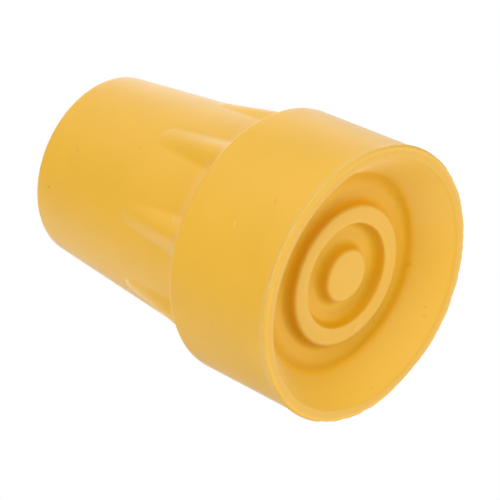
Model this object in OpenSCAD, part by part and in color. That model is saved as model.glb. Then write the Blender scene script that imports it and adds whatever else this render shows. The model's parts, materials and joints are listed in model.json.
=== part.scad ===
// Rubber tip for a cane: one moulding that stands on the lip round its tread, with its socket opening upwards.
// The origin is the centre of the tread's lip, and the socket's axis is +Z.

/* [Overall] */
// Height from the lip of the tread to the mouth of the socket
height = 49.7; // [46:0.1:60]

/* [Base] */
// Diameter of the base just above the bead round its lip
rim_d = 38; // [36.5:0.1:44]
// How far the bead round the lip stands out of the side
bead_w = 0.2; // [0.1:0.05:0.3]
// Height of the bead above the lip
bead_h = 0.6; // [0.5:0.1:1]
// Diameter of the base at its shoulder
shoulder_d = 37.2; // [35.5:0.1:44]
// Height of the shoulder above the lip
base_h = 18; // [14:0.1:24]
// Rounding of the outer edge of the lip
rim_edge_r = 0.4; // [0.1:0.1:0.4]
// Rounding of the shoulder's edge
shoulder_edge_r = 0.4; // [0.2:0.1:1]

/* [Upper body] */
// Diameter of the upper body where it meets the shoulder
foot_d = 32.2; // [29:0.1:34]
// Diameter of the upper body at its mouth
mouth_d = 25.7; // [24:0.1:28]
// Rounding of the mouth's outer edge
mouth_edge_r = 0.8; // [0.2:0.1:1.2]
// Fillet between the upper body and the shoulder
foot_fillet_r = 0.6; // [0.2:0.1:1]

/* [Socket] */
// Diameter of the socket that grips the cane
socket_d = 19; // [17:0.1:20]
// Depth of the socket from the mouth to its floor
socket_depth = 36; // [24:0.5:38]
// Rounding of the socket's mouth
socket_edge_r = 0.5; // [0.2:0.1:0.8]
// Fillet round the floor of the socket
socket_floor_r = 0.5; // [0.2:0.1:1]

/* [Ribs] */
// Number of ribs between the shoulder and the upper body
rib_count = 8; // [4:1:10]
// Height of the middle of a rib's round nose above the shoulder
rib_rise = 12.6; // [8:0.1:18]
// Width of the round bar of a rib at the shoulder
rib_foot_w = 7; // [4:0.1:8]
// Width of the round nose of a rib
rib_nose_w = 4.2; // [2:0.1:5]
// Height of a rib's crest above the upper body at the shoulder
rib_foot_proud = 1.5; // [0.8:0.1:2]
// Height of a rib's crest above the upper body at its nose
rib_nose_proud = 0.3; // [0.2:0.1:1]

/* [Tread] */
// Width of the flat lip that meets the ground
lip_w = 1.3; // [0.5:0.1:1.8]
// Rounding of the lip's inner edge
lip_edge_r = 0.4; // [0.1:0.1:0.6]
// Depth of the tread's grooves below the lip
groove_depth = 5; // [4.5:0.1:6.5]
// Diameter of the sloping inner wall where it meets the groove
groove_d = 27.6; // [26:0.1:30]
// Fillet between the sloping wall and the groove
wall_fillet_r = 0.4; // [0.2:0.1:1.4]
// Outer diameter of the raised ring
ring_outer_d = 19.5; // [18:0.1:21]
// Inner diameter of the raised ring
ring_inner_d = 14.7; // [13:0.1:16]
// Height of the ring above the grooves
ring_h = 1.4; // [1.3:0.1:2.5]
// Diameter of the round boss in the middle
boss_d = 7.2; // [5:0.1:8]
// Height of the boss above the grooves
boss_h = 1.4; // [1.3:0.1:2.5]
// Fillet at the foot of the ring and of the boss
groove_fillet_r = 1.2; // [0.2:0.1:1.2]
// Rounding of the top edges of the ring and of the boss
ring_edge_r = 0.45; // [0.1:0.05:0.5]
// How much wider the ring and the boss are at their foot, on each side
draft = 0.35; // [0.2:0.05:0.5]

/* [Hidden] */
$fn = 96;
arc_steps = 6;      // straight pieces in each rounded corner
sunk = 1;           // how far the ribs reach down into the base
nose_roundness = 0.9;   // share of a rib's nose that is rounded; the rest is its small flat end
above = 1;          // how far a cutter stands out of the surface that it opens
bead_edge_r = 0.1;  // rounding of the bead's upper edge
bead_fillet_r = 0.3;    // fillet between the bead and the side
rubber_colour = "#ECB54A";

bead_r = rim_d / 2 + bead_w;
ring_top = groove_depth - ring_h;
boss_top = groove_depth - boss_h;
socket_floor_z = height - socket_depth;
body_taper = (foot_d - mouth_d) / 2 / (height - base_h);
body_r_at_nose = foot_d / 2 - body_taper * rib_rise;
// The middle line of a rib's bar, as distances from the part's axis
rib_foot_axis_r = foot_d / 2 + rib_foot_proud - rib_foot_w / 2;
rib_nose_axis_r = body_r_at_nose + rib_nose_proud - rib_nose_w / 2;
rib_lean = atan((rib_foot_axis_r - rib_nose_axis_r) / rib_rise);
rib_length = rib_rise / cos(rib_lean);
rib_growth = (rib_foot_w - rib_nose_w) / 2 / rib_length;
rib_end = rib_length + rib_nose_w / 2;
rib_end_r = rib_foot_w / 2 - rib_growth * rib_end;

// Half of the outline of a rib's bar, from its sunk foot to its round nose
RIB_OUTLINE = [
    [0, -sunk, 0],
    [rib_foot_w / 2 + rib_growth * sunk, -sunk, 0],
    [rib_end_r, rib_end, rib_end_r * nose_roundness],
    [0, rib_end, 0],
];

// Half of the moulding's outline without its socket: radius, height and rounding of each corner,
// from the middle of the tread outwards and up to the mouth
OUTLINE = [
    [0, boss_top, 0],
    [boss_d / 2, boss_top, ring_edge_r],
    [boss_d / 2 + draft, groove_depth, groove_fillet_r],
    [ring_inner_d / 2 - draft, groove_depth, groove_fillet_r],
    [ring_inner_d / 2, ring_top, ring_edge_r],
    [ring_outer_d / 2, ring_top, ring_edge_r],
    [ring_outer_d / 2 + draft, groove_depth, groove_fillet_r],
    [groove_d / 2, groove_depth, wall_fillet_r],
    [bead_r - rim_edge_r - lip_w, 0, lip_edge_r],
    [bead_r, 0, rim_edge_r],
    [bead_r, bead_h, bead_edge_r],
    [rim_d / 2, bead_h + bead_w, bead_fillet_r],
    [shoulder_d / 2, base_h, shoulder_edge_r],
    [foot_d / 2, base_h, foot_fillet_r],
    [mouth_d / 2, height, mouth_edge_r],
    [0, height, 0],
];

// The same for the cutter that opens the socket
SOCKET_OUTLINE = [
    [0, socket_floor_z, 0],
    [socket_d / 2, socket_floor_z, socket_floor_r],
    [socket_d / 2, height, socket_edge_r],
    [socket_d / 2 + above, height, 0],
    [socket_d / 2 + above, height + above, 0],
    [0, height + above, 0],
];

function unit(v) = v / norm(v);
function flat(corner) = [corner.x, corner.y];
function heading(v) = atan2(v.y, v.x);
function turn(from, to) = (to - from + 540) % 360 - 180;

// The points of the arc of radius r that rounds corner q between its neighbours p and s
function corner_arc(p, q, s, r) =
    let (
        to_p = unit(p - q),
        to_s = unit(s - q),
        half = acos(to_p * to_s) / 2,
        centre = q + unit(to_p + to_s) * r / sin(half),
        first = heading(q + to_p * r / tan(half) - centre),
        sweep = turn(first, heading(q + to_s * r / tan(half) - centre))
    )
    [for (i = [0 : arc_steps]) centre + r * [cos(first + sweep * i / arc_steps), sin(first + sweep * i / arc_steps)]];

// An outline with each of its corners rounded as it says
function rounded(corners) =
    let (n = len(corners))
    [for (i = [0 : n - 1])
        let (q = flat(corners[i]), p = flat(corners[(i + n - 1) % n]), s = flat(corners[(i + 1) % n]), r = corners[i].z)
        each (r > 0 ? corner_arc(p, q, s, r) : [q])];

module turned(corners) {
    rotate_extrude() polygon(rounded(corners));
}

// One rib: a tapered round bar with a round nose, half sunk in the upper body
module rib() {
    translate([rib_foot_axis_r, 0, base_h]) rotate([0, -rib_lean, 0]) turned(RIB_OUTLINE);
}

module ribs() {
    for (i = [0 : rib_count - 1]) rotate([0, 0, i * 360 / rib_count]) rib();
}

module cane_tip() {
    color(rubber_colour) difference() {
        union() {
            turned(OUTLINE);
            ribs();
        }
        turned(SOCKET_OUTLINE);
    }
}

cane_tip();
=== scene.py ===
"""Golden-yellow rubber tip for a cane, on a plain pale stage.

One turned moulding with raised ribs replaces the frame's plain solid. Lengths are in metres, in the
frame's own axes: the tip stands on its lip at height 0, and its socket opens upwards along +Z.
"""

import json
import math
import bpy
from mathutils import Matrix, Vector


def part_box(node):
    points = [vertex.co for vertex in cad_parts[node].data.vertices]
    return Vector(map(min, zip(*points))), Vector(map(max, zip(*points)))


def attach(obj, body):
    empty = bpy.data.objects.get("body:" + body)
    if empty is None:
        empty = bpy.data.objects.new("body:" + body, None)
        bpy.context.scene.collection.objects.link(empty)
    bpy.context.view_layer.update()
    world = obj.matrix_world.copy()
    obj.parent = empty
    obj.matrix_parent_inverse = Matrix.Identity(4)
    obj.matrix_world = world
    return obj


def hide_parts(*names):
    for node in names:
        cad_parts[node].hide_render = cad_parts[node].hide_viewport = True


bl_info = {
    "name": "Rubber cane tip",
    "version": (1, 0, 0),
    "blender": (4, 5, 0),
    "location": "3D View > Sidebar > Cane tip",
    "description": "Models a moulded rubber cane tip with its finish, floor, lamps and camera",
    "category": "Object",
}

import bmesh
import bpy
from bpy.props import FloatProperty, FloatVectorProperty, IntProperty, PointerProperty
from bpy.types import Operator, Panel, PropertyGroup
from mathutils import Matrix, Vector, noise

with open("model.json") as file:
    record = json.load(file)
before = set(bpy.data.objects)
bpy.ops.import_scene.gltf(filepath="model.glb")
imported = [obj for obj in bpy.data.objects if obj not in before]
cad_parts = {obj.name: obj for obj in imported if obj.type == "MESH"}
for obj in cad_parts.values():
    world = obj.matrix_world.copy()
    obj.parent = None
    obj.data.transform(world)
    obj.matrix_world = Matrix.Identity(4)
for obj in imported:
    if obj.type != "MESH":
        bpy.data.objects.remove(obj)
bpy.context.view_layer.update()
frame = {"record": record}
NODE = "cane_tip"
NODE_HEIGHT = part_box(NODE)[1].z
SOCKET = next(mount for mount in frame["record"]["mounts"] if mount["name"] == "socket")

MM = 0.001

# How far up from the shoulder the skin is cut finely, for the ribs
RIBBED_HEIGHT = 15.2 * MM

# Where tears take more of the bead, or less: azimuth and reach to each side in degrees, and amount
WORN_ARCS = ((-89, 18, 1), (148, 24, -0.9), (-22, 18, -0.9))


def length(name, description, millimetres):
    """A length that the panel shows, with its default in millimetres."""
    return FloatProperty(name=name, description=description, default=millimetres * MM, min=0, unit="LENGTH")


def share(name, description, default):
    """A plain number from 0 to 1."""
    return FloatProperty(name=name, description=description, default=default, min=0, max=1)


def number(name, description, default, lowest=0):
    """A plain number with a lowest value."""
    return FloatProperty(name=name, description=description, default=default, min=lowest)


def angle(name, description, degrees):
    """An angle that the panel shows in degrees."""
    return FloatProperty(name=name, description=description, default=math.radians(degrees), subtype="ANGLE")


def colour(name, description, default):
    """A colour, in linear light."""
    return FloatVectorProperty(name=name, description=description, default=default, size=3, subtype="COLOR")


class TipSizes(PropertyGroup):
    """Sizes of the moulding."""

    height: length("Height", "From the lip to the mouth", NODE_HEIGHT / MM)
    rim_width: length("Base width", "Across the base just above the bead round its lip", 38)
    bead_width: length("Bead", "How far the bead round the lip stands out of the side", 0.2)
    bead_height: length("Bead height", "From the lip to the top of the bead", 0.6)
    bead_rounding: length("Bead rounding", "Upper edge of the bead", 0.1)
    bead_fillet: length("Bead fillet", "Between the bead and the side", 0.3)
    shoulder_width: length("Shoulder width", "Across the base at its shoulder", 37.2)
    base_height: length("Base height", "From the lip to the shoulder", 18)
    rim_rounding: length("Rim rounding", "Outer edge of the lip", 0.4)
    shoulder_rounding: length("Shoulder rounding", "Edge of the shoulder", 0.4)
    foot_width: length("Upper body's foot", "Across the upper body at the shoulder", 32.2)
    mouth_width: length("Mouth width", "Across the upper body at its mouth", 25.7)
    mouth_rounding: length("Mouth rounding", "Outer edge of the mouth", 0.8)
    foot_fillet: length("Foot fillet", "Between the shoulder and the upper body", 0.6)
    socket_width: length("Socket width", "Across the socket", 2 * SOCKET["dims"]["r_mm"])
    socket_depth: length("Socket depth", "From the mouth to the socket's floor", 36)
    socket_rounding: length("Socket rounding", "Inner edge of the mouth", 0.5)
    socket_fillet: length("Socket fillet", "Round the socket's floor", 0.5)
    lip_width: length("Lip width", "Flat of the lip that meets the ground", 1.3)
    lip_rounding: length("Lip rounding", "Inner edge of the lip", 0.4)
    groove_depth: length("Groove depth", "From the lip to the bottom of the grooves", 5)
    groove_width: length("Groove width", "Across the sloping wall at the bottom", 27.6)
    wall_fillet: length("Wall fillet", "Between the sloping wall and the groove", 0.4)
    ring_outer: length("Ring outside", "Across the raised ring", 19.5)
    ring_inner: length("Ring inside", "Across the hole of the raised ring", 14.7)
    ring_height: length("Ring height", "From the grooves to the top of the ring", 1.4)
    boss_width: length("Boss width", "Across the boss in the middle", 7.2)
    boss_height: length("Boss height", "From the grooves to the top of the boss", 1.4)
    groove_fillet: length("Groove fillet", "At the foot of the ring and of the boss", 1.2)
    ring_rounding: length("Ring rounding", "Top edges of the boss and of the ring's outside", 0.45)
    ring_inner_rounding: length("Ring's inner rounding", "Top edge of the ring's inside", 0.3)
    draft: length("Draft", "How much wider the ring and the boss are at their foot", 0.35)


class RibSizes(PropertyGroup):
    """Sizes of the ribs between the shoulder and the upper body."""

    count: IntProperty(name="Ribs", description="Ribs around the upper body", default=8, min=4, max=12)
    rise: length("Rise", "From the shoulder to the middle of a rib's round nose", 11.8)
    foot_width: length("Foot width", "Across a rib at the shoulder, where it has run out", 6.2)
    nose_width: length("Nose width", "Across a rib's round nose, where it has run out", 3.8)
    foot_proud: length("Foot stands out", "Height of the crest at the shoulder", 1.4)
    nose_proud: length("Nose stands out", "Height of the crest at the nose", 0.3)
    softness: number("Softness", "Over 1, a rib's sides run out softly", 1.7, lowest=1)


class RimWear(PropertyGroup):
    """Wear of the bead and of the lip's edge."""

    gone: share("Bead gone", "Share of the bead that is gone on average", 0.3)
    tears: share("Tears", "Share of the bead by which its tears vary", 0.6)
    coarse_tears: length("Coarse tears", "Size of the coarse tears", 20 / 9)
    fine_tears: length("Fine tears", "Size of the fine tears", 2 / 3)
    deepest: number("Deepest tear", "Share of the bead; over 1 it cuts into the side", 1.2)
    lip_reach: length("Lip's reach", "How far in from the bead the lip follows its wear", 1)
    chafed_azimuth: angle("Chafed at", "Where the rim is chafed most", -93)
    chafed_reach: angle("Chafed reach", "How far it is chafed to each side", 17)
    chafed_depth: length("Chafed depth", "How much of the rim is gone there", 0.15)
    chafed_height: length("Chafed height", "How far up the side it is chafed", 3)


class RubberLook(PropertyGroup):
    """Colours and finish of the rubber, with painted light and shade on parts of the tread, the lip and the
    shoulder.
    """

    body_colour: colour("Rubber", "Clean golden rubber", (0.84, 0.464, 0.031))
    # Painted shade: a deeper, more saturated orange in the grooves, standing in for the light bounced round
    # them
    groove_shade_colour: colour("Grooves", "Rubber between the tread's ring, boss and wall", (0.88, 0.475, 0.022))
    # Painted shade: darker, deeper orange in the corners of the grooves
    crease_shade_colour: colour("Creases", "Rubber in the corners of the tread's grooves", (0.8, 0.39, 0.004))
    # Painted shade: a darker copy of the rubber on the ring and the boss
    raised_shade_colour: colour("Ring and boss", "Rubber of the tread's ring and boss", (0.825, 0.448, 0.024))
    # Painted shade: a darker colour on the steep sides of the ring and of the boss
    step_shade_colour: colour("Steps", "Steep sides of the ring and of the boss", (0.7, 0.34, 0.001))
    # Painted light: a paler copy of the rubber on the sloping wall inside the lip
    wall_light_colour: colour("Wall", "Sloping wall inside the lip", (0.825, 0.482, 0.04))
    # Painted shade: a darker copy of the rubber on the flat lip
    lip_shade_colour: colour("Lip", "Flat lip that meets the ground", (0.79, 0.43, 0.023))
    # Painted highlight on the outer edge of the lip
    lip_edge_highlight_colour: colour("Lip's edge", "Bright outer edge of the lip", (0.86, 0.475, 0.035))
    flash_colour: colour("Flash", "Thin skin of rubber on the bead", (0.825, 0.482, 0.07))
    torn_colour: colour("Torn flash", "Where the flash is torn", (0.82, 0.5, 0.105))
    # Pale line on the shoulder's edge: partly the mould's flash, partly painted sheen
    shoulder_flash_and_sheen_colour: colour("Shoulder line", "Pale line of the mould on the shoulder", (0.82, 0.478, 0.068))
    # Painted shade: darker, greyer rubber in the corner above the shoulder
    corner_shade_colour: colour("Dust", "Bloom in the corner above the shoulder", (0.81, 0.467, 0.082))
    speck_colour: colour("Specks", "Dark specks", (0.33, 0.15, 0.006))
    scuff_colour: colour("Scuffs", "Pale scuffs and scratches", (0.92, 0.6, 0.2))
    cloudiness: share("Clouds", "How much darker the rubber is in its faint clouds", 0.04)
    roughness: share("Roughness", "Of the clean rubber", 0.6)
    shine: share("Shine", "Mirror-like light from the rubber under its skin", 0.1)
    gloss: share("Gloss", "Strength of the satin skin", 0.85)
    sheen: share("Sheen", "Pale bloom at grazing angles", 0.4)
    sheen_spread: share("Sheen's spread", "How far round the edges the bloom reaches", 0.25)
    relief: length("Relief", "Depth of the fine grain", 0.01)


class StageLook(PropertyGroup):
    """Floor, lamps and camera."""

    floor_colour: colour("Floor", "Pale floor under the tip", (0.9, 0.9, 0.9))
    surround: colour("Surround", "Background that the camera sees", (1, 1, 1))
    world_strength: number("World", "Soft light from all round", 0.075)
    lamp_angle: angle("Lamp softness", "Width of each lamp", 38)
    floor_reach: length("Floor reach", "From the tip to where the floor has faded", 400)
    floor_gap: length("Floor gap", "From the lip down to the floor, so that they don't share a plane", 0.05)
    distance: length("Camera distance", "From the camera to the point that it looks at", 521.6)
    lens: number("Lens", "Focal length in millimetres for a 36 mm sensor", 288, lowest=1)


class Moulding:
    """The tip's mesh while it is being modelled."""

    # Steps of a full turn, and how near two points are merged
    turn_steps = 480
    merge_reach = 0.001 * MM

    def __init__(self):
        self.bm = bmesh.new()

    def wire(self, corners):
        """A line through the corners, each with radius, height, rounding, its steps, and cuts up to it."""
        points = [Vector((corner[0], 0, corner[1])) for corner in corners]
        verts = [self.bm.verts.new(point) for point in points]
        for pair in zip(verts, verts[1:]):
            self.bm.edges.new(pair)
        for index, corner in enumerate(corners):
            rounding, steps = corner[2:4]
            if rounding:
                self.round_corner(*points[index - 1 : index + 2], rounding, steps)
        for index, corner in enumerate(corners):
            cuts = corner[4]
            if cuts:
                middle = (points[index - 1] + points[index]) / 2
                bmesh.ops.subdivide_edges(self.bm, edges=[self.edge_at(middle)], cuts=cuts)

    def edge_at(self, place):
        """The wire's edge whose middle is nearest to the place."""

        def away(edge):
            first, second = edge.verts
            return ((first.co + second.co) / 2 - place).length

        return min(self.bm.edges, key=away)

    def round_corner(self, before, corner, after, radius, steps):
        """Rounds one corner of the wire with an arc of the radius."""
        vert = min(self.bm.verts, key=lambda vert: (vert.co - corner).length)
        half = (before - corner).angle(after - corner) / 2
        bmesh.ops.bevel(
            self.bm,
            geom=[vert],
            offset=radius / math.tan(half),
            offset_type="OFFSET",
            segments=steps,
            profile=0.5,
            affect="VERTICES",
            material=-1,
        )

    def turn(self, sectors):
        """Turns the wire about the axis: one sector first, then its copies, merged into a closed skin."""
        sector = 2 * math.pi / sectors
        self.spin(sector, round(self.turn_steps / sectors), False)
        self.spin(2 * math.pi - sector, sectors - 1, True)
        bmesh.ops.remove_doubles(self.bm, verts=self.bm.verts[:], dist=self.merge_reach)
        bmesh.ops.recalc_face_normals(self.bm, faces=self.bm.faces[:])

    def spin(self, arc, steps, copies):
        """Spins the whole mesh through the arc, as a skin or as copies of it."""
        bmesh.ops.spin(
            self.bm,
            geom=self.bm.verts[:] + self.bm.edges[:] + self.bm.faces[:],
            cent=(0, 0, 0),
            axis=(0, 0, 1),
            angle=arc,
            steps=steps,
            use_duplicate=copies,
        )

    def finish(self, name, material):
        """The finished object, smooth and with its material."""
        mesh = bpy.data.meshes.new(name)
        self.bm.to_mesh(mesh)
        self.bm.free()
        mesh.shade_smooth()
        mesh.materials.append(material)
        piece = bpy.data.objects.new(name, mesh)
        bpy.context.scene.collection.objects.link(piece)
        return piece


def tip_outline(sizes):
    """Corners of the moulding's outline, from the middle of the tread outwards, up and into the socket.

    Each has its radius, height and rounding, the steps of the rounding, and the cuts in the line up to it.
    """
    boss = sizes.boss_width / 2
    ring_in = sizes.ring_inner / 2
    ring_out = sizes.ring_outer / 2
    rim = sizes.rim_width / 2
    bead = rim + sizes.bead_width
    shoulder = sizes.shoulder_width / 2
    foot = sizes.foot_width / 2
    mouth = sizes.mouth_width / 2
    bore = sizes.socket_width / 2
    lip_inside = bead - sizes.rim_rounding - sizes.lip_width
    floor = sizes.height - sizes.socket_depth
    groove = sizes.groove_depth
    fillet = sizes.groove_fillet
    edge = sizes.ring_rounding
    ring_top = groove - sizes.ring_height
    boss_top = groove - sizes.boss_height
    above_ribs = foot + (mouth - foot) * RIBBED_HEIGHT / (sizes.height - sizes.base_height)
    return [
        (0, boss_top, 0, 0, 0),
        (boss, boss_top, edge, 5, 3),
        (boss + sizes.draft, groove, fillet, 8, 0),
        (ring_in - sizes.draft, groove, fillet, 8, 1),
        (ring_in, ring_top, sizes.ring_inner_rounding, 5, 0),
        (ring_out, ring_top, edge, 5, 1),
        (ring_out + sizes.draft, groove, fillet, 8, 0),
        (sizes.groove_width / 2, groove, sizes.wall_fillet, 4, 2),
        (lip_inside, 0, sizes.lip_rounding, 4, 4),
        (bead, 0, sizes.rim_rounding, 5, 1),
        (bead, sizes.bead_height, sizes.bead_rounding, 3, 1),
        (rim, sizes.bead_height + sizes.bead_width, sizes.bead_fillet, 3, 0),
        (shoulder, sizes.base_height, sizes.shoulder_rounding, 5, 16),
        (foot, sizes.base_height, sizes.foot_fillet, 5, 3),
        (above_ribs, sizes.base_height + RIBBED_HEIGHT, 0, 0, 52),
        (mouth, sizes.height, sizes.mouth_rounding, 8, 8),
        (bore, sizes.height, sizes.socket_rounding, 5, 1),
        (bore, floor, sizes.socket_fillet, 4, 8),
        (0, floor, 0, 0, 3),
    ]


def raise_ribs(bm, sizes, ribs):
    """Moves the upper body's skin out along its radius to make the ribs; on the shelf, less further out."""
    step = 2 * math.pi / ribs.count
    foot = sizes.foot_width / 2
    mouth = sizes.mouth_width / 2
    taper = (foot - mouth) / (sizes.height - sizes.base_height)
    shelf_edge = sizes.shoulder_width / 2 - sizes.shoulder_rounding
    hair = 0.01 * MM  # The shelf's points lie this near to its height
    for vert in bm.verts:
        radius = math.hypot(vert.co.x, vert.co.y)
        up = vert.co.z - sizes.base_height
        if not -hair <= up <= ribs.rise + ribs.nose_width or not mouth <= radius <= shelf_edge:
            continue
        along = min(max(up / ribs.rise, 0), 1)
        reach = (ribs.foot_width + (ribs.nose_width - ribs.foot_width) * along) / 2
        proud = ribs.foot_proud + (ribs.nose_proud - ribs.foot_proud) * along
        azimuth = math.atan2(vert.co.y, vert.co.x)
        aside = (foot - taper * up) * math.remainder(azimuth, step)
        beyond = max(up - ribs.rise, 0)
        inside = 1 - (aside * aside + beyond * beyond) / (reach * reach)
        if inside <= 0:
            continue
        on_shelf = min(max((shelf_edge - radius) / (shelf_edge - foot), 0), 1)
        scale = 1 + proud * inside ** ribs.softness * on_shelf / radius
        vert.co.x *= scale
        vert.co.y *= scale


def wear_rim(bm, sizes, wear):
    """Draws the bead in by uneven amounts, as tears leave it, and the rim where it is chafed."""
    bead = sizes.rim_width / 2 + sizes.bead_width
    bead_top = sizes.bead_height + sizes.bead_width / 2  # Halfway down the slope above the bead
    inner = bead - wear.lip_reach
    for vert in bm.verts:
        radius = math.hypot(vert.co.x, vert.co.y)
        if vert.co.z > wear.chafed_height or radius < inner:
            continue
        azimuth = math.atan2(vert.co.y, vert.co.x)
        chafed = nearness(azimuth, wear.chafed_azimuth, wear.chafed_reach)
        inwards = chafed * wear.chafed_depth * (1 - vert.co.z / wear.chafed_height)
        if vert.co.z < bead_top:
            inwards += sizes.bead_width * torn_share(vert.co, azimuth, wear)
        follows = min((radius - inner) / (wear.lip_reach - sizes.bead_width), 1)
        scale = 1 - inwards * follows / radius
        vert.co.x *= scale
        vert.co.y *= scale


def torn_share(place, azimuth, wear):
    """The share of the bead that is gone at a place."""
    torn = wear.gone
    torn += wear.tears * noise.noise(place / wear.coarse_tears)
    torn += wear.tears * noise.noise(place / wear.fine_tears)
    for middle, reach, amount in WORN_ARCS:
        torn += amount * nearness(azimuth, math.radians(middle), math.radians(reach))
    return min(max(torn, 0), wear.deepest)


def nearness(azimuth, middle, reach):
    """1 at the middle azimuth, falling evenly to 0 at the reach on both sides."""
    return max(1 - abs(math.remainder(azimuth - middle, 2 * math.pi)) / reach, 0)


class Value:
    """A number, colour or place that a shader works out, usable in Python's own arithmetic."""

    def __init__(self, shader, socket):
        self.shader = shader
        self.socket = socket

    def __add__(self, other):
        return self.shader.math("ADD", self, other)

    def __radd__(self, other):
        return self.shader.math("ADD", other, self)

    def __sub__(self, other):
        return self.shader.math("SUBTRACT", self, other)

    def __rsub__(self, other):
        return self.shader.math("SUBTRACT", other, self)

    def __mul__(self, other):
        return self.shader.math("MULTIPLY", self, other)

    def __rmul__(self, other):
        return self.shader.math("MULTIPLY", other, self)

    def __pow__(self, other):
        return self.shader.math("POWER", self, other)

    def __rpow__(self, other):
        return self.shader.math("POWER", other, self)

    def __abs__(self):
        return self.shader.math("ABSOLUTE", self)

    def ramp(self, start, end):
        """0 up to the start, 1 from the end on, soft between them; the end may be the lower one."""
        sockets = {0: self, 1: start, 2: end}
        return self.shader.add("ShaderNodeMapRange", sockets, interpolation_type="SMOOTHSTEP")

    def band(self, middle, reach):
        """1 at the middle, falling softly to 0 at the reach on both sides."""
        return abs(self - middle).ramp(reach, 0)

    def larger(self, other):
        """The larger of the two."""
        return self.shader.math("MAXIMUM", self, other)


class Shader:
    """The nodes of one material, or of the world."""

    def __init__(self, owner):
        owner.use_nodes = True
        self.tree = owner.node_tree
        self.tree.nodes.clear()

    def add(self, kind, sockets=None, output=0, **settings):
        """Adds a node with its settings and its sockets' values or links, and gives one of its outputs."""
        node = self.tree.nodes.new(kind)
        for name, value in settings.items():
            setattr(node, name, value)
        for key, value in (sockets or {}).items():
            if isinstance(value, Value):
                self.tree.links.new(value.socket, node.inputs[key])
            else:
                node.inputs[key].default_value = value
        return Value(self, node.outputs[output]) if len(node.outputs) else None

    def math(self, operation, *values):
        """One step of arithmetic."""
        return self.add("ShaderNodeMath", dict(enumerate(values)), operation=operation)

    def mix(self, amount, first, second):
        """A colour between the first, at 0, and the second, at 1."""
        return self.add("ShaderNodeMix", {0: amount, 6: first, 7: second}, 2, data_type="RGBA")

    def place(self):
        """Where the shaded point is on the tip, in millimetres."""
        place = self.add("ShaderNodeTexCoord", output="Object")
        return self.add("ShaderNodeVectorMath", {0: place, "Scale": 1 / MM}, operation="SCALE")

    def part(self, place, axis):
        """One of a place's three numbers."""
        return self.add("ShaderNodeSeparateXYZ", {0: place}, axis)

    def noise(self, place, size, detail=2):
        """Soft random values from 0 to 1, with features of about the size, in millimetres."""
        return self.add("ShaderNodeTexNoise", {"Vector": place, "Scale": 1 / size, "Detail": detail})

    def spot(self, place, mark):
        """1 in the middle of a mark on the tip, falling softly to 0 at its edge."""
        turned = math.radians(mark.azimuth)
        centre = (mark.radius * math.cos(turned), mark.radius * math.sin(turned), mark.height)
        sockets = {
            "Vector": place,
            "Location": centre,
            "Rotation": (math.radians(mark.tilt), 0, turned),
            "Scale": (mark.deep, mark.wide, mark.tall),
        }
        inside = self.add("ShaderNodeMapping", sockets, vector_type="TEXTURE")
        away = self.add("ShaderNodeVectorMath", {0: inside}, "Value", operation="LENGTH")
        return away.ramp(1, 0.2) * mark.strength


class Mark:
    """A small mark: its place on the tip and half sizes in millimetres, its strength, its lean in degrees."""

    def __init__(self, radius, azimuth, height, wide, tall, strength, tilt=0, deep=1):
        self.radius = radius
        self.azimuth = azimuth
        self.height = height
        self.wide = wide
        self.tall = tall
        self.strength = strength
        self.tilt = tilt
        self.deep = deep


# Radius, azimuth, height, half width, half height and strength of each mark
SPECKS = (
    # Near the mouth and down the upper body
    Mark(13.1, 35.8, 46.8, 0.3, 0.4, 0.36),
    Mark(14.5, 78.0, 33.2, 0.25, 0.3, 0.12),
    Mark(14.4, 65.6, 34.2, 0.25, 0.25, 0.12),
    Mark(14.6, 67.9, 32.3, 0.25, 0.25, 0.12),
    Mark(13.4, 57.0, 44.1, 0.2, 0.25, 0.12),
    Mark(13.5, 63.6, 43.4, 0.3, 0.9, 0.1, tilt=-34),
    Mark(14.2, 6.4, 36.1, 0.3, 0.3, 0.25),
    # On the base's side
    Mark(18.9, 77.0, 5.3, 0.26, 0.7, 0.16, tilt=-52),
    Mark(18.8, 19.3, 10.1, 0.3, 0.35, 0.12),
    # On the sloping wall inside the lip
    Mark(16.3, -120.2, 1.7, 0.3, 0.3, 0.17),
    Mark(16.5, -116.2, 1.4, 0.25, 0.25, 0.17),
    Mark(16.8, -71.8, 0.9, 0.3, 0.5, 0.1, tilt=-79),
    # In the grooves, below the ring's edge and at the wall's foot
    Mark(12.3, -99.0, 5.0, 0.35, 1.0, 0.18, deep=0.3),
    Mark(11.6, -102.0, 5.0, 0.3, 1.0, 0.15, deep=0.25),
    Mark(13.1, 174.0, 5.0, 0.4, 1.0, 0.2, deep=0.25),
    Mark(12.7, 164.5, 5.0, 0.5, 1.0, 0.2, deep=0.3),
    Mark(13.9, -138.5, 4.8, 0.6, 0.6, 0.15),
)

SCUFFS = (
    # On a rib, just above the shoulder
    Mark(16.1, 52.8, 21.4, 0.25, 0.8, 0.35, tilt=-40),
    # A nick and a long faint scratch on the base's side
    Mark(18.8, 62.0, 9.3, 0.2, 0.85, 0.4, tilt=-69),
    Mark(18.7, 82.6, 10.2, 0.2, 1.8, 0.14, tilt=-100),
    # On the ring and in the grooves
    Mark(8.9, -80.0, 3.6, 1.1, 1.0, 0.25, deep=0.45),
    Mark(11.2, -93.0, 5.0, 0.6, 1.0, 0.3, deep=0.4),
    Mark(11.4, -86.0, 5.0, 0.5, 1.0, 0.25, deep=0.4),
    Mark(12.6, 162.0, 5.0, 0.4, 1.0, 0.2, deep=0.25),
    Mark(12.2, 173.0, 5.0, 1.1, 1.0, 0.2, deep=0.35),
)


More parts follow.
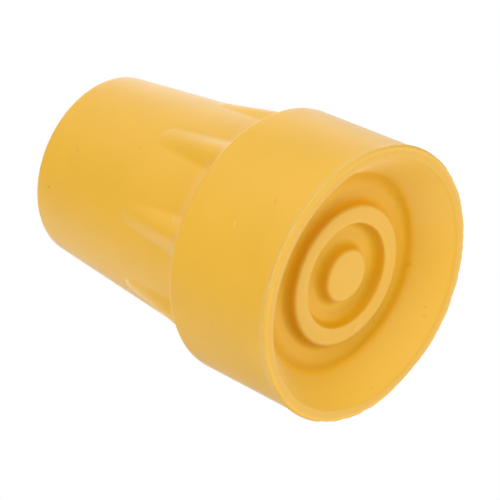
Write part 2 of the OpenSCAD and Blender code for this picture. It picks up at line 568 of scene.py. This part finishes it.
def rubber_material(look, sizes):
    """Golden moulded rubber with painted shade deep in its grooves and creases, painted light on its wall and
    lip's edge, pale at its flash, with the small marks of handling.
    """
    material = bpy.data.materials.new("golden_rubber")
    shader = Shader(material)
    place = shader.place()
    x = shader.part(place, 0)
    y = shader.part(place, 1)
    z = shader.part(place, 2)
    radius = (x * x + y * y) ** 0.5
    torn = shader.noise(place, size=0.6, detail=3)
    cloud = shader.noise(place, size=9)
    patchy = shader.noise(place, size=2.5)
    grain = shader.noise(place, size=0.35, detail=3)
    tread = tread_masks(radius, z, sizes)
    shoulder = shoulder_masks(radius, z, patchy, sizes)
    rim = rim_masks(radius, z, torn, patchy, sizes)
    # Painted light and shade: a paler wall, darker grooves, creases, steps, ring, boss and lip, a highlight
    # on the lip's edge, shade above the shoulder, and sheen in part of the shoulder line
    layers = (
        (tread["wall"], look.wall_light_colour),
        (tread["raised"], look.raised_shade_colour),
        (tread["hollow"], look.groove_shade_colour),
        (tread["creases"], look.crease_shade_colour),
        (tread["steps"], look.step_shade_colour),
        (shoulder["corner_shade"], look.corner_shade_colour),
        (shoulder["line"], look.shoulder_flash_and_sheen_colour),
        (rim["lip"], look.lip_shade_colour),
        (rim["lip_edge"], look.lip_edge_highlight_colour),
        (rim["flash"], look.flash_colour),
        (rim["tears"], look.torn_colour),
    )
    darker = tuple((1 - look.cloudiness) * part for part in look.body_colour)
    tone = shader.mix(cloud.ramp(0.3, 0.7), (*look.body_colour, 1), (*darker, 1))
    for mask, shade in layers:
        tone = shader.mix(mask, tone, (*shade, 1))
    for marks, shade in ((SCUFFS, look.scuff_colour), (SPECKS, look.speck_colour)):
        for mark in marks:
            tone = shader.mix(shader.spot(place, mark), tone, (*shade, 1))

    # Fine grain and faint waves everywhere, and a rougher skin on the flash
    relief = grain * 0.3 + patchy * 0.5 + torn * rim["flash"] * 3
    bump = shader.add("ShaderNodeBump", {"Height": relief, "Strength": 1, "Distance": look.relief})

    # The clouds and the flash are duller, and the hollows and creases have less of the satin skin
    sockets = {
        "Base Color": tone,
        "Roughness": look.roughness - 0.08 + cloud * 0.12 + rim["flash"] * 0.2,
        "Specular IOR Level": look.shine,
        "Coat Weight": (1 - tread["hollow"] * 0.5 - tread["creases"] * 0.4) * look.gloss,
        "Coat Roughness": look.roughness,
        "Sheen Weight": look.sheen,
        "Sheen Roughness": look.sheen_spread,
        "Normal": bump,
    }
    shader.add("ShaderNodeOutputMaterial", {"Surface": shader.add("ShaderNodeBsdfPrincipled", sockets)})
    return material


def tread_masks(radius, z, sizes):
    """Masks of the tread's wall, of its ring and boss, and of the grooves with their creases and steps, on
    which light and shade are painted.

    Radius and height are in millimetres here and in the masks below. The two numbers of a ramp say how far
    from an edge of the moulding a mask starts and where it is full.
    """
    bead = (sizes.rim_width / 2 + sizes.bead_width) / MM
    groove = sizes.groove_width / 2 / MM
    groove_top = sizes.groove_depth / MM
    ring_top = (sizes.groove_depth - sizes.ring_height) / MM
    tread = z.ramp(groove_top + 1, groove_top + 0.5)
    sloping = radius.ramp(groove + 0.2, groove + 0.8) * radius.ramp(bead - 1.2, bead - 1.5)
    return {
        "wall": z.ramp(0.1, 0.4) * sloping * tread,
        "raised": radius.ramp(groove, groove - 1) * tread,
        "hollow": z.ramp(ring_top + 0.1, ring_top + 0.8) * radius.ramp(groove + 0.7, groove) * tread,
        "creases": crease_mask(radius, sizes) * z.ramp(ring_top + 0.1, ring_top + 0.5) * tread,
        "steps": step_mask(radius, sizes) * z.ramp(ring_top, ring_top + 0.2) * tread,
    }


def crease_mask(radius, sizes):
    """1 at the foot of the tread's boss, ring and wall, falling off into the grooves: where shade is painted.
    """
    wall_foot = sizes.groove_width / 2 / MM
    rising = radius.ramp(wall_foot - 1.8, wall_foot - 0.4)
    creases = rising * radius.ramp(wall_foot + 0.5, wall_foot - 0.2) * 0.85
    feet = (
        (sizes.boss_width / 2 + sizes.draft, 1),
        (sizes.ring_inner / 2 - sizes.draft, 1),
        (sizes.ring_outer / 2 + sizes.draft, 0.8),
    )
    for foot, strength in feet:
        creases = creases.larger(radius.band(foot / MM, 1) * strength)
    return creases


def step_mask(radius, sizes):
    """1 on the steep side of the ring's inside, less on its outside and on the boss: where shade is painted.
    """
    steps = radius.band((sizes.boss_width + sizes.draft) / 2 / MM, 0.6) * 0.6
    steps = steps.larger(radius.band((sizes.ring_inner - sizes.draft) / 2 / MM, 0.6))
    return steps.larger(radius.band((sizes.ring_outer + sizes.draft) / 2 / MM, 0.5) * 0.3)


def shoulder_masks(radius, z, patchy, sizes):
    """Masks of the painted shade in the corner above the shoulder, and of the pale line on its edge, partly
    the mould's flash and partly painted sheen.
    """
    ledge = sizes.base_height / MM
    foot = sizes.foot_width / 2 / MM
    shoulder = sizes.shoulder_width / 2 / MM
    between_ribs = z.ramp(ledge + 3.6, ledge + 2.2) * radius.ramp(foot + 0.6, foot + 0.1)
    edge = z.ramp(ledge - 0.4, ledge - 0.05) * radius.ramp(shoulder - 0.5, shoulder - 0.3)
    return {
        "corner_shade": z.ramp(ledge - 0.2, ledge) * between_ribs.larger(z.ramp(ledge + 2.2, ledge + 1.2)),
        "line": edge * patchy.ramp(0, 0.5),
    }


def rim_masks(radius, z, torn, patchy, sizes):
    """Masks of the flat lip, where shade is painted, and of its outer edge, where a highlight is painted, and
    of the flash on the bead and its tears.
    """
    bead = (sizes.rim_width / 2 + sizes.bead_width) / MM
    lip = z.ramp(0.15, 0.02)
    flash = z.ramp(0.05, 0.2) * z.ramp(1.6, 0.7) * radius.ramp(bead - 0.7, bead - 0.4)
    return {
        "lip": lip,
        "lip_edge": radius.ramp(bead - 0.8, bead - 0.5) * lip,
        "flash": flash,
        "tears": flash * z.ramp(0.9, 0.6) * (torn * 0.5 + patchy * 0.5).ramp(0.45, 0.62),
    }


def floor_material(look):
    """Pale floor that only a camera above it sees, so that it never shades the tread."""
    material = bpy.data.materials.new("pale_floor")
    shader = Shader(material)
    place = shader.place()
    away = shader.add("ShaderNodeVectorMath", {0: place}, "Value", operation="LENGTH")
    reach = look.floor_reach / MM
    seen = shader.add("ShaderNodeLightPath", output="Is Camera Ray")
    below = shader.add("ShaderNodeNewGeometry", output="Backfacing")
    clear = shader.add("ShaderNodeBsdfTransparent")
    pale = shader.add("ShaderNodeBsdfDiffuse", {"Color": (*look.floor_colour, 1)})
    amount = seen * (1 - below) * away.ramp(reach, reach / 4)
    surface = shader.add("ShaderNodeMixShader", {0: amount, 1: clear, 2: pale})
    shader.add("ShaderNodeOutputMaterial", {"Surface": surface})
    return material


class CANETIP_OT_moulding(Operator):
    """Models the rubber moulding in place of the frame's solid"""

    bl_idname = "cane_tip.moulding"
    bl_label = "Rubber moulding"

    def execute(self, context):
        sizes = context.scene.cane_tip_sizes
        ribs = context.scene.cane_tip_ribs
        moulding = Moulding()
        moulding.wire(tip_outline(sizes))
        moulding.turn(ribs.count)
        raise_ribs(moulding.bm, sizes, ribs)
        wear_rim(moulding.bm, sizes, context.scene.cane_tip_wear)
        piece = moulding.finish("rubber_moulding", rubber_material(context.scene.cane_tip_rubber, sizes))
        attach(piece, "root")
        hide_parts(NODE)
        return {"FINISHED"}


class CANETIP_OT_stage(Operator):
    """Sets the floor, the lamps and the camera"""

    bl_idname = "cane_tip.stage"
    bl_label = "Stage"

    # Direction from the tip to the camera, the camera's upright direction, and the point that it looks at
    back = Vector((0.36681, 0.69571, -0.61761))
    upright = Vector((-0.68272, 0.65228, 0.32928))
    target = Vector((6.50, 7.54, 12.34)) * MM

    # The photograph's middle is half a pixel off, in a picture 500 pixels wide
    half_pixel = 0.5 / 500

    # The nearest and the farthest that the camera sees, in metres
    sight = (0.01, 20)

    # Soft lamps round the tip: azimuth and height above the horizon in degrees, and strength
    lamps = (
        (60, -10, 1.9),
        (190, 52, 1.15),
        (335, -15, 1.15),
        (275, 62, 0.9),
        (250, -21, 0.9),
        (185, -56, 0.85),
        (113, -18, 0.82),
        (105, 44, 0.87),
        (217, -37, 0.63),
        (303, -30, 0.6),
        (328, 48, 0.47),
        (100, -68, 0.45),
    )

    def execute(self, context):
        look = context.scene.cane_tip_stage
        context.scene.view_settings.view_transform = "Standard"
        self.world(context, look)
        self.floor(context, look)
        for azimuth, height, strength in self.lamps:
            self.lamp(context, look, math.radians(azimuth), math.radians(height), strength)
        self.camera(context, look)
        return {"FINISHED"}

    def world(self, context, look):
        """Soft even light, behind which the camera sees the plain surround."""
        world = bpy.data.worlds.new("surround")
        context.scene.world = world
        shader = Shader(world)
        seen = shader.add("ShaderNodeLightPath", output="Is Camera Ray")
        light = shader.add("ShaderNodeBackground", {"Color": (1, 1, 1, 1), "Strength": look.world_strength})
        shown = shader.add("ShaderNodeBackground", {"Color": (*look.surround, 1), "Strength": 1})
        mixed = shader.add("ShaderNodeMixShader", {0: seen, 1: light, 2: shown})
        shader.add("ShaderNodeOutputWorld", {"Surface": mixed})

    def floor(self, context, look):
        """A round pale floor just under the lip."""
        bm = bmesh.new()
        bmesh.ops.create_circle(bm, cap_ends=True, segments=64, radius=look.floor_reach)
        bmesh.ops.translate(bm, verts=bm.verts[:], vec=(0, 0, -look.floor_gap))
        mesh = bpy.data.meshes.new("floor")
        bm.to_mesh(mesh)
        bm.free()
        mesh.materials.append(floor_material(look))
        floor = bpy.data.objects.new("floor", mesh)
        context.scene.collection.objects.link(floor)

    def lamp(self, context, look, azimuth, height, strength):
        """A soft distant lamp that shines from the azimuth and height."""
        data = bpy.data.lights.new("soft_lamp", "SUN")
        data.energy = strength
        data.angle = look.lamp_angle
        lamp = bpy.data.objects.new("soft_lamp", data)
        context.scene.collection.objects.link(lamp)
        level = math.cos(height)
        towards = Vector((level * math.cos(azimuth), level * math.sin(azimuth), math.sin(height)))
        lamp.rotation_euler = towards.to_track_quat("Z", "Y").to_euler()

    def camera(self, context, look):
        """The camera at the photograph's viewing angle."""
        data = bpy.data.cameras.new("camera")
        data.lens = look.lens
        data.shift_x = -self.half_pixel
        data.shift_y = self.half_pixel
        data.clip_start, data.clip_end = self.sight
        camera = bpy.data.objects.new("camera", data)
        context.scene.collection.objects.link(camera)
        back = self.back.normalized()
        right = self.upright.cross(back).normalized()
        upright = back.cross(right)
        turned = Matrix((right, upright, back)).transposed()
        place = self.target + back * look.distance
        camera.matrix_world = Matrix.Translation(place) @ turned.to_4x4()
        context.scene.camera = camera


class CANETIP_PT_panel(Panel):
    """Lists the tip's sizes, finish and stage"""

    bl_idname = "CANETIP_PT_panel"
    bl_label = "Cane tip"
    bl_space_type = "VIEW_3D"
    bl_region_type = "UI"
    bl_category = "Cane tip"

    def draw(self, context):
        for group, kind, button in GROUPS:
            box = self.layout.box()
            values = getattr(context.scene, group)
            for name in values.bl_rna.properties.keys():
                if name not in {"rna_type", "name"}:
                    box.prop(values, name)
            if button:
                box.operator(button)


# Each group of values: its name in the scene, its class, and the operator that its button runs
GROUPS = (
    ("cane_tip_sizes", TipSizes, None),
    ("cane_tip_ribs", RibSizes, None),
    ("cane_tip_wear", RimWear, None),
    ("cane_tip_rubber", RubberLook, "cane_tip.moulding"),
    ("cane_tip_stage", StageLook, "cane_tip.stage"),
)

# The operators, and the panel that lists the values and the buttons
TOOLS = (
    CANETIP_OT_moulding,
    CANETIP_OT_stage,
    CANETIP_PT_panel,
)


def register():
    for group, kind, button in GROUPS:
        bpy.utils.register_class(kind)
        setattr(bpy.types.Scene, group, PointerProperty(type=kind))
    for tool in TOOLS:
        bpy.utils.register_class(tool)


def unregister():
    for tool in reversed(TOOLS):
        bpy.utils.unregister_class(tool)
    for group, kind, button in reversed(GROUPS):
        delattr(bpy.types.Scene, group)
        bpy.utils.unregister_class(kind)


def main():
    """Makes the tip and its stage."""
    register()
    bpy.ops.cane_tip.moulding()
    bpy.ops.cane_tip.stage()


if __name__ == "__main__":
    main()
